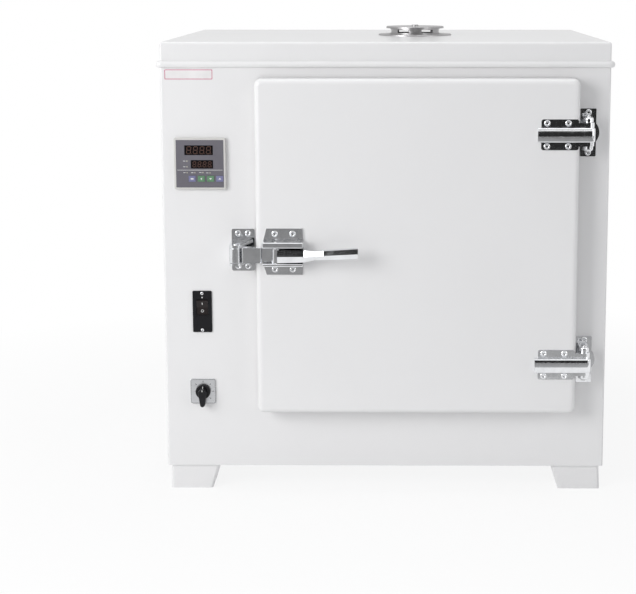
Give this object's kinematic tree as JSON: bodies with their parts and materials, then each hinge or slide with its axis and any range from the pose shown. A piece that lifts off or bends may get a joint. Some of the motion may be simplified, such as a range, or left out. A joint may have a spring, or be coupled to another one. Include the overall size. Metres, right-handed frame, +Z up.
{
  "type": "forced air oven",
  "caption": "Laboratory drying oven with a hinged insulated door, lever latch, rear fan, wire shelves, control panel and a turning roof vent.",
  "frame": {"origin": "on the floor, under the middle of the oven's bounding box", "axes": "+Z up, -Y towards the door and the viewer, +X to the viewer's right"},
  "size_m": [0.844, 0.793, 0.8713],
  "materials": {
    "white_enamel": "semi-gloss baked enamel, white",
    "galvanised_sheet": "galvanised sheet, dull",
    "stainless_chamber": "brushed stainless steel",
    "chrome": "bright chrome plate over zinc casting",
    "steel_screw": "bright nickel-plated screws",
    "mineral_wool": "mineral wool slab",
    "silicone": "heat-resistant silicone, brick red",
    "cast_iron_motor": "dark painted cast motor can",
    "steel_shaft": "ground steel",
    "aluminium_fins": "extruded aluminium",
    "heater_sheath": "heat-darkened tubular heater sheath",
    "controller_bezel": "light grey moulded plastic",
    "controller_face": "dark grey printed face",
    "key_grey": "grey-blue key top",
    "key_green": "green key top",
    "black_plastic": "black moulded plastic",
    "rocker_brown": "dark brown rocker",
    "selector_silver": "satin silver plate",
    "relay_plastic": "off-white moulded case",
    "gland_grey": "dark grey nylon"
  },
  "bodies": {
    "cabinet": {"cabinet_shell": "white_enamel", "base_pan": "galvanised_sheet", "top_lid": "white_enamel", "rear_panel": "white_enamel", "control_partition": "galvanised_sheet", "motor_partition": "galvanised_sheet", "mouth_frame": "stainless_chamber", "chamber_liner": "stainless_chamber", "wall_insulation": "mineral_wool", "rear_insulation": "mineral_wool", "air_baffle": "stainless_chamber", "heater_coil": "heater_sheath", "fan_motor": "cast_iron_motor", "vent_pipe": "stainless_chamber", "vent_base": "chrome", "shelf_rail_left": "stainless_chamber", "shelf_rail_right": "stainless_chamber", "temperature_probe": "steel_shaft", "relay_heatsink": "aluminium_fins", "solid_state_relay": "relay_plastic", "terminal_block": "black_plastic", "cable_gland": "gland_grey", "foot_front_left": "white_enamel", "foot_front_right": "white_enamel", "foot_rear_left": "white_enamel", "foot_rear_right": "white_enamel", "hinge_bracket_upper": "chrome", "hinge_bracket_lower": "chrome", "hinge_pins": "steel_shaft", "keeper_bracket": "chrome", "cabinet_screws": "steel_screw", "controller_case": "controller_bezel", "controller_front": "controller_face", "breaker_plate": "black_plastic", "breaker_body": "black_plastic", "selector_plate": "selector_silver", "selector_body": "black_plastic"},
    "door": {"door_skin": "white_enamel", "door_inner_panel": "stainless_chamber", "door_insulation": "mineral_wool", "door_gasket": "silicone", "hinge_strap_upper": "chrome", "hinge_strap_lower": "chrome", "latch_base": "chrome", "latch_pin": "steel_shaft", "door_screws": "steel_screw"},
    "latch_lever": {"latch_handle": "chrome"},
    "tongue": {"latch_tongue": "chrome"},
    "roller": {"keeper_roller": "chrome"},
    "set_key": {"key_set": "key_grey"},
    "shift_key": {"key_shift": "key_green"},
    "down_key": {"key_down": "key_green"},
    "up_key": {"key_up": "key_grey"},
    "rocker": {"breaker_rocker": "rocker_brown"},
    "selector": {"selector_knob": "black_plastic"},
    "vent_shutter": {"vent_cap": "chrome"},
    "fan": {"fan_impeller": "stainless_chamber", "fan_shaft": "steel_shaft"},
    "lower_shelf": {"wire_shelf_lower": "chrome"},
    "upper_shelf": {"wire_shelf_upper": "chrome"}
  },
  "joints": [
    {"name": "door_hinge", "type": "hinge", "parent": "cabinet", "child": "door", "pos_m": [0.371, -0.3385, 0.473], "axis": [0, 0, 1], "range_deg": [0, 130]},
    {"name": "latch_lever_turn", "type": "hinge", "parent": "door", "child": "latch_lever", "pos_m": [-0.2, -0.3715, 0.464], "axis": [0, 0, -1], "range_deg": [0, 45]},
    {"name": "tongue_slide", "type": "slide", "parent": "door", "child": "tongue", "axis": [1, 0, 0], "range_m": [0, 0.0101]},
    {"name": "roller_turn", "type": "hinge", "parent": "cabinet", "child": "roller", "pos_m": [-0.2745, -0.3665, 0.464], "axis": [0, 0, 1], "continuous": true},
    {"name": "set_key_press", "type": "slide", "parent": "cabinet", "child": "set_key", "axis": [0, 1, 0], "range_m": [0, 0.001], "stiffness_N_per_m": 400},
    {"name": "shift_key_press", "type": "slide", "parent": "cabinet", "child": "shift_key", "axis": [0, 1, 0], "range_m": [0, 0.001], "stiffness_N_per_m": 400},
    {"name": "down_key_press", "type": "slide", "parent": "cabinet", "child": "down_key", "axis": [0, 1, 0], "range_m": [0, 0.001], "stiffness_N_per_m": 400},
    {"name": "up_key_press", "type": "slide", "parent": "cabinet", "child": "up_key", "axis": [0, 1, 0], "range_m": [0, 0.001], "stiffness_N_per_m": 400},
    {"name": "rocker_tilt", "type": "hinge", "parent": "cabinet", "child": "rocker", "pos_m": [-0.344, -0.3035, 0.3539], "axis": [-1, 0, 0], "range_deg": [0, 16]},
    {"name": "selector_turn", "type": "hinge", "parent": "cabinet", "child": "selector", "pos_m": [-0.345, -0.3085, 0.192], "axis": [0, 1, 0], "range_deg": [-45, 135]},
    {"name": "vent_turn", "type": "hinge", "parent": "cabinet", "child": "vent_shutter", "pos_m": [0.0583, 0.0395, 0.86], "axis": [0, 0, 1], "range_deg": [0, 30]},
    {"name": "fan_spin", "type": "hinge", "parent": "cabinet", "child": "fan", "pos_m": [0.0583, 0.1945, 0.473], "axis": [0, 1, 0], "continuous": true},
    {"name": "lower_shelf_slide", "type": "slide", "parent": "cabinet", "child": "lower_shelf", "axis": [0, -1, 0], "range_m": [0, 0.035]},
    {"name": "upper_shelf_slide", "type": "slide", "parent": "cabinet", "child": "upper_shelf", "axis": [0, -1, 0], "range_m": [0, 0.035]}
  ],
  "couplings": [
    {"joint": "tongue_slide", "follows": "latch_lever_turn", "m_per_rad": 0.012732}
  ]
}
